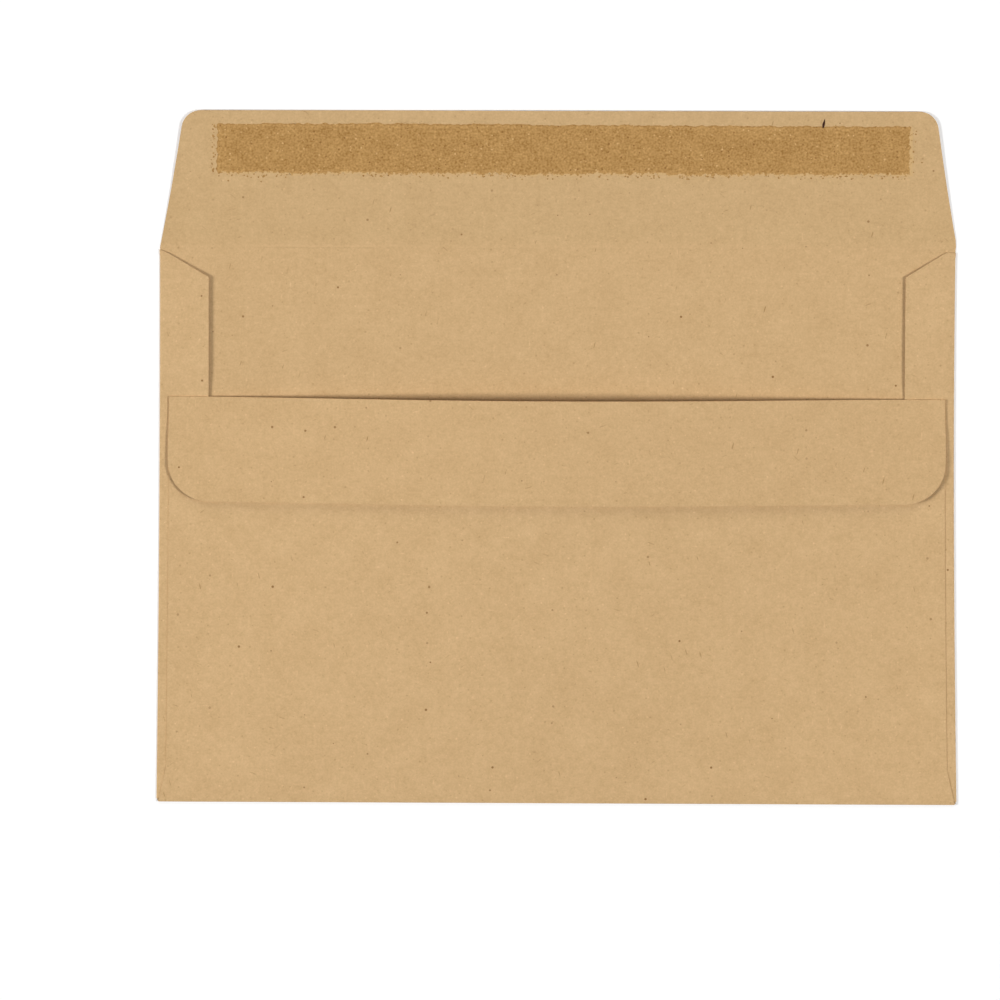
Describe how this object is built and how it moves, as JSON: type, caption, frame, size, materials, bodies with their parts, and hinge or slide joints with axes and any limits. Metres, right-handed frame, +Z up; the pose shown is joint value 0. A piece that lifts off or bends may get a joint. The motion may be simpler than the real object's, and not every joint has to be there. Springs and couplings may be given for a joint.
{
  "type": "paper envelope",
  "caption": "Self-seal wallet envelope in manilla paper, lying with its seal flap open: a pocket with two side flaps, a turned-down tongue and a straight strip of gum.",
  "frame": {"origin": "centre of the address face, half way between the side folds and half way between the bottom fold and the flap crease", "axes": "+X along the width, to the right when looking at the open back; +Y from the bottom fold towards the seal flap; +Z up, away from the surface that the address face lies on"},
  "size_m": [0.229, 0.2025, 0.0066],
  "materials": {
    "manilla_paper": "matt, unbleached recycled manilla paper with sparse flecks",
    "latex_gum": "dried latex self-seal gum, granular and matt",
    "seam_gum": "thin dried seam gum, hidden between two layers of paper"
  },
  "bodies": {
    "root": {"folded_sheet": "manilla_paper", "flap_gum_strip": "latex_gum", "tongue_gum_strip": "latex_gum", "seam_gum_left": "seam_gum", "seam_gum_right": "seam_gum"}
  },
  "joints": []
}
